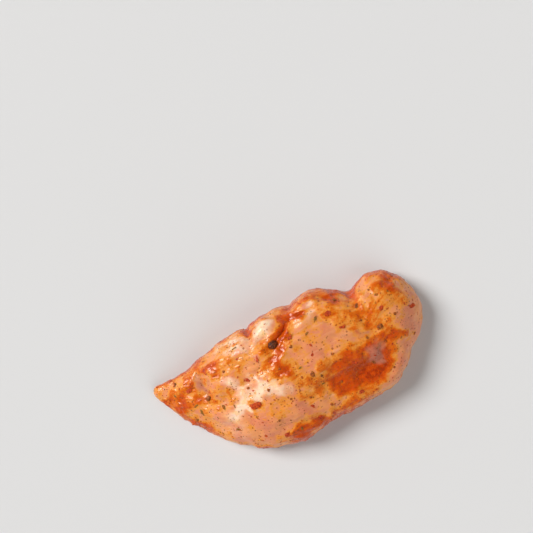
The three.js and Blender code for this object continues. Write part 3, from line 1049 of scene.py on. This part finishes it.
@dataclass(frozen=True)
class BitShaper:
    """Shapes bits from a ball, each in a box of side 1."""

    corn_radius: float = 0.53
    corn_wrinkle: float = 0.17
    chunk_cuts: int = 11
    flake_cuts: int = 7
    flake_tilt: float = 0.12  # how far a flake's cuts lean
    cut_at: Range = (0.55, 0.9)
    curl: Range = (0.1, 0.9)
    twist: Range = (-0.5, 0.5)
    flake_thickness: float = 0.45
    flake_drop: float = 0.2
    radius: float = 0.58
    uneven: float = 0.2

    def shaped(self, shape: Shape, ball: Array, rng: np.random.Generator) -> Array:
        """One bit of a shape.

        Args:
            shape: which shape it has.
            ball: a ball's points.
            rng: the random draws.

        Returns:
            The bit's points.
        """
        start = rng.uniform(0, 50)
        if shape is Shape.CORN:
            wrinkles = np.abs(Bumps(0.5, 3, start).at(ball))
            return ball * (self.corn_radius - self.corn_wrinkle * wrinkles)[:, None]
        flat = shape is Shape.FLAKE
        points = ball.copy()
        for _ in range(self.flake_cuts if flat else self.chunk_cuts):
            way = rng.normal(size=3) * [1, 1, self.flake_tilt if flat else 1]
            way /= np.linalg.norm(way)
            beyond = np.maximum(points @ way - rng.uniform(*self.cut_at), 0)
            points -= beyond[:, None] * way
        if flat:
            curl, twist = rng.uniform(*self.curl), rng.uniform(*self.twist)
            x, y, z = points.T
            points[:, 2] = self.flake_thickness * z + curl * x**2 + twist * x * y - self.flake_drop
        return self.radius * points * (1 + self.uneven * Bumps(0.6, 3, start).at(points))[:, None]


@dataclass
class SpiceBits:
    """The coarse and the ground spice, as one joined mesh for each kind."""

    surface: Surface
    scatter: SpiceScatter = field(default_factory=SpiceScatter)
    shaper: BitShaper = BitShaper()
    coarse_detail: int = 4
    ground_detail: int = 2
    ground_counts: tuple[tuple[Spice, int], ...] = ((Spice.CHILLI, 620), (Spice.PEPPER, 260), (Spice.HERB, 160))
    ground_size: Range = (0.14, 0.4)
    ground_fineness: float = 2.2  # above 1, more of it is small
    ground_tries: int = 6
    ground_above: float = 0.02  # how high on the ball they lie
    ground_share: float = 0.2  # the share of them kept on bare flesh
    ground_in_film: float = 0.6  # how much more of them on thick marinade
    seed: int = 88

    def joined(self, name: str, kind: Spice, bits: list[Bit], subdivisions: int) -> bpy.types.Object:
        """Bits of one kind as one dressed mesh.

        Args:
            name: the piece's name.
            kind: the spice.
            bits: the bits.
            subdivisions: how fine each bit is.

        Returns:
            The piece.
        """
        rng = np.random.default_rng(self.seed + len(kind.word))
        ball, faces = small_ball(subdivisions)
        form = self.surface.form
        found = self.surface.at(form.ball_above(np.array([b.x for b in bits]), np.array([b.y for b in bits])))
        chips = []
        for bit, point, up in zip(bits, found["point"], found["normal"]):
            size = np.array(kind.size) * bit.scale
            turn = math.radians(bit.turn)
            third = unit(np.cross(up, [math.cos(turn), math.sin(turn), 0.0]))
            frame_of_bit = np.stack([np.cross(third, up), third, up])
            chip = (self.shaper.shaped(kind.shape, ball, rng) * size) @ frame_of_bit
            chips.append(chip + point + up * size[2] * (1 / 2 - kind.sunk))
        all_faces = np.concatenate([faces + i * len(ball) for i in range(len(bits))])
        piece = mesh_object(name, np.concatenate(chips) * METRE, all_faces)
        piece.data.materials.append(SpiceFinish().material(kind))
        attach(piece, BODY)
        return piece

    def ground(self, kind: Spice, count: int, rng: np.random.Generator) -> list[Bit]:
        """Ground spice of one kind, more of it where the marinade is thick."""
        form = self.surface.form
        ball = unit(rng.normal(size=(self.ground_tries * count, 3)))
        ball = ball[ball[:, 2] > self.ground_above]
        film = self.surface.at(ball)["film"]
        kept = ball[rng.uniform(size=len(ball)) < self.ground_share + self.ground_in_film * film][:count]
        x = form.half * kept[:, 0]
        y = form.middle(x) + form.breadth(x) * kept[:, 1]
        low, high = self.ground_size
        scales = low + (high - low) * rng.uniform(size=len(kept)) ** self.ground_fineness
        turns = rng.uniform(0, 360, len(kept))
        return [Bit(kind, *values) for values in zip(x, y, turns, scales)]

    def make(self) -> list[bpy.types.Object]:
        """Builds each kind, coarse and then ground."""
        coarse = self.scatter.bits(self.surface.form)
        pieces = []
        for kind in Spice:
            bits = [bit for bit in coarse if bit.kind is kind]
            pieces.append(self.joined(f"spice_{kind.word}", kind, bits, self.coarse_detail))
        rng = np.random.default_rng(self.seed)
        for kind, count in self.ground_counts:
            bits = self.ground(kind, count, rng)
            pieces.append(self.joined(f"ground_{kind.word}", kind, bits, self.ground_detail))
        return pieces


@dataclass(frozen=True)
class Lamp:
    """A far lamp, which lights the whole floor alike."""

    name: str
    toward: Triple  # where it is: right and up in the photograph, and height
    strength: float
    wide: float  # as seen from the fillet, in degrees
    seen: bool  # whether it shows in glossy surfaces


@dataclass
class Studio:
    """The floor, the lights and the camera, set as the photograph's view is."""

    image_px: int = 533
    mm_per_px: float = 0.5714
    fillet_px: Range = (299.07, 370.18)  # the fillet's middle in the photograph
    fillet_turn: float = 29.0  # its X from the photograph's right, in degrees
    distance: float = 0.7
    aim_height: float = 0.015  # where a pixel is mm_per_px wide
    sensor_mm: float = 36.0
    floor_reach: float = 3.0
    floor_colour: Colour = (0.66, 0.655, 0.65)
    air_colour: tuple[float, ...] = (1.0, 0.985, 0.96, 1.0)
    air_range: tuple[tuple[str, float], ...] = (("From Min", 0.1), ("From Max", 0.7), ("To Min", 0.45), ("To Max", 0.1))
    lamps: tuple[Lamp, ...] = (
        Lamp("window", (-0.62, 0.24, 0.62), 3.3, 28, seen=True),
        Lamp("fill", (0.5, -0.5, 0.6), 1.2, 70, seen=False),
    )

    def in_row(self, right: float, up: float) -> Range:
        """A direction in the photograph, in the row's X and Y."""
        turn = math.radians(self.fillet_turn)
        return right * math.cos(turn) + up * math.sin(turn), up * math.cos(turn) - right * math.sin(turn)

    def camera(self) -> None:
        """Looks straight down, framed as the photograph is."""
        half = self.image_px / 2
        x, y = self.in_row(half - self.fillet_px[0], self.fillet_px[1] - half)
        data = bpy.data.cameras.new("camera")
        data.sensor_width = self.sensor_mm
        data.lens = self.sensor_mm * self.distance / (self.image_px * self.mm_per_px * METRE)
        camera = bpy.data.objects.new("camera", data)
        camera.location = (x * self.mm_per_px * METRE, y * self.mm_per_px * METRE, self.distance + self.aim_height)
        camera.rotation_euler = (0, 0, -math.radians(self.fillet_turn))
        bpy.context.scene.collection.objects.link(camera)
        bpy.context.scene.camera = camera

    def light(self, lamp: Lamp) -> None:
        """Hangs up a lamp."""
        right, up, height = lamp.toward
        data = bpy.data.lights.new(lamp.name, "SUN")
        data.energy = lamp.strength
        data.angle = math.radians(lamp.wide)
        sun = bpy.data.objects.new(lamp.name, data)
        sun.visible_glossy = lamp.seen
        sun.rotation_euler = Vector((*self.in_row(right, up), height)).to_track_quat("Z", "Y").to_euler()
        bpy.context.scene.collection.objects.link(sun)

    def air(self) -> None:
        """The light from all round: bright near the horizon and dim overhead, as under a dark ceiling."""
        world = bpy.data.worlds.new("air")
        world.use_nodes = True
        tree = world.node_tree
        way = tree.nodes.new("ShaderNodeTexCoord")
        parts = tree.nodes.new("ShaderNodeSeparateXYZ")
        dim = tree.nodes.new("ShaderNodeMapRange")
        dim.interpolation_type = "SMOOTHSTEP"
        for key, value in self.air_range:
            dim.inputs[key].default_value = value
        tree.links.new(way.outputs["Generated"], parts.inputs[0])
        tree.links.new(parts.outputs["Z"], dim.inputs["Value"])
        tree.links.new(dim.outputs[0], tree.nodes["Background"].inputs["Strength"])
        tree.nodes["Background"].inputs["Color"].default_value = self.air_colour
        bpy.context.scene.world = world

    def make(self) -> None:
        """Sets up the floor, the light, the air and the camera."""
        corners = self.floor_reach * np.array([[-1, -1, 0], [1, -1, 0], [1, 1, 0], [-1, 1, 0]])
        floor = mesh_object("floor", corners, np.array([[0, 1, 2, 3]]))
        floor.data.materials.append(Shader("pale floor").finish(Base_Color=self.floor_colour, Roughness=0.7))
        self.air()
        for lamp in self.lamps:
            self.light(lamp)
        self.camera()
        bpy.context.scene.view_settings.view_transform = "Standard"


def main() -> None:
    """Builds the fillet piece by piece and writes how large it came out."""
    logging.basicConfig(level=logging.INFO, format="%(name)s: %(message)s")
    Studio().make()
    surface = Surface()
    pieces = [Flesh(surface).make(), *SpiceBits(surface).make()]
    for piece in pieces:
        LOG.info("%s: %d faces", piece.name, len(piece.data.polygons))


if __name__ == "__main__":
    main()
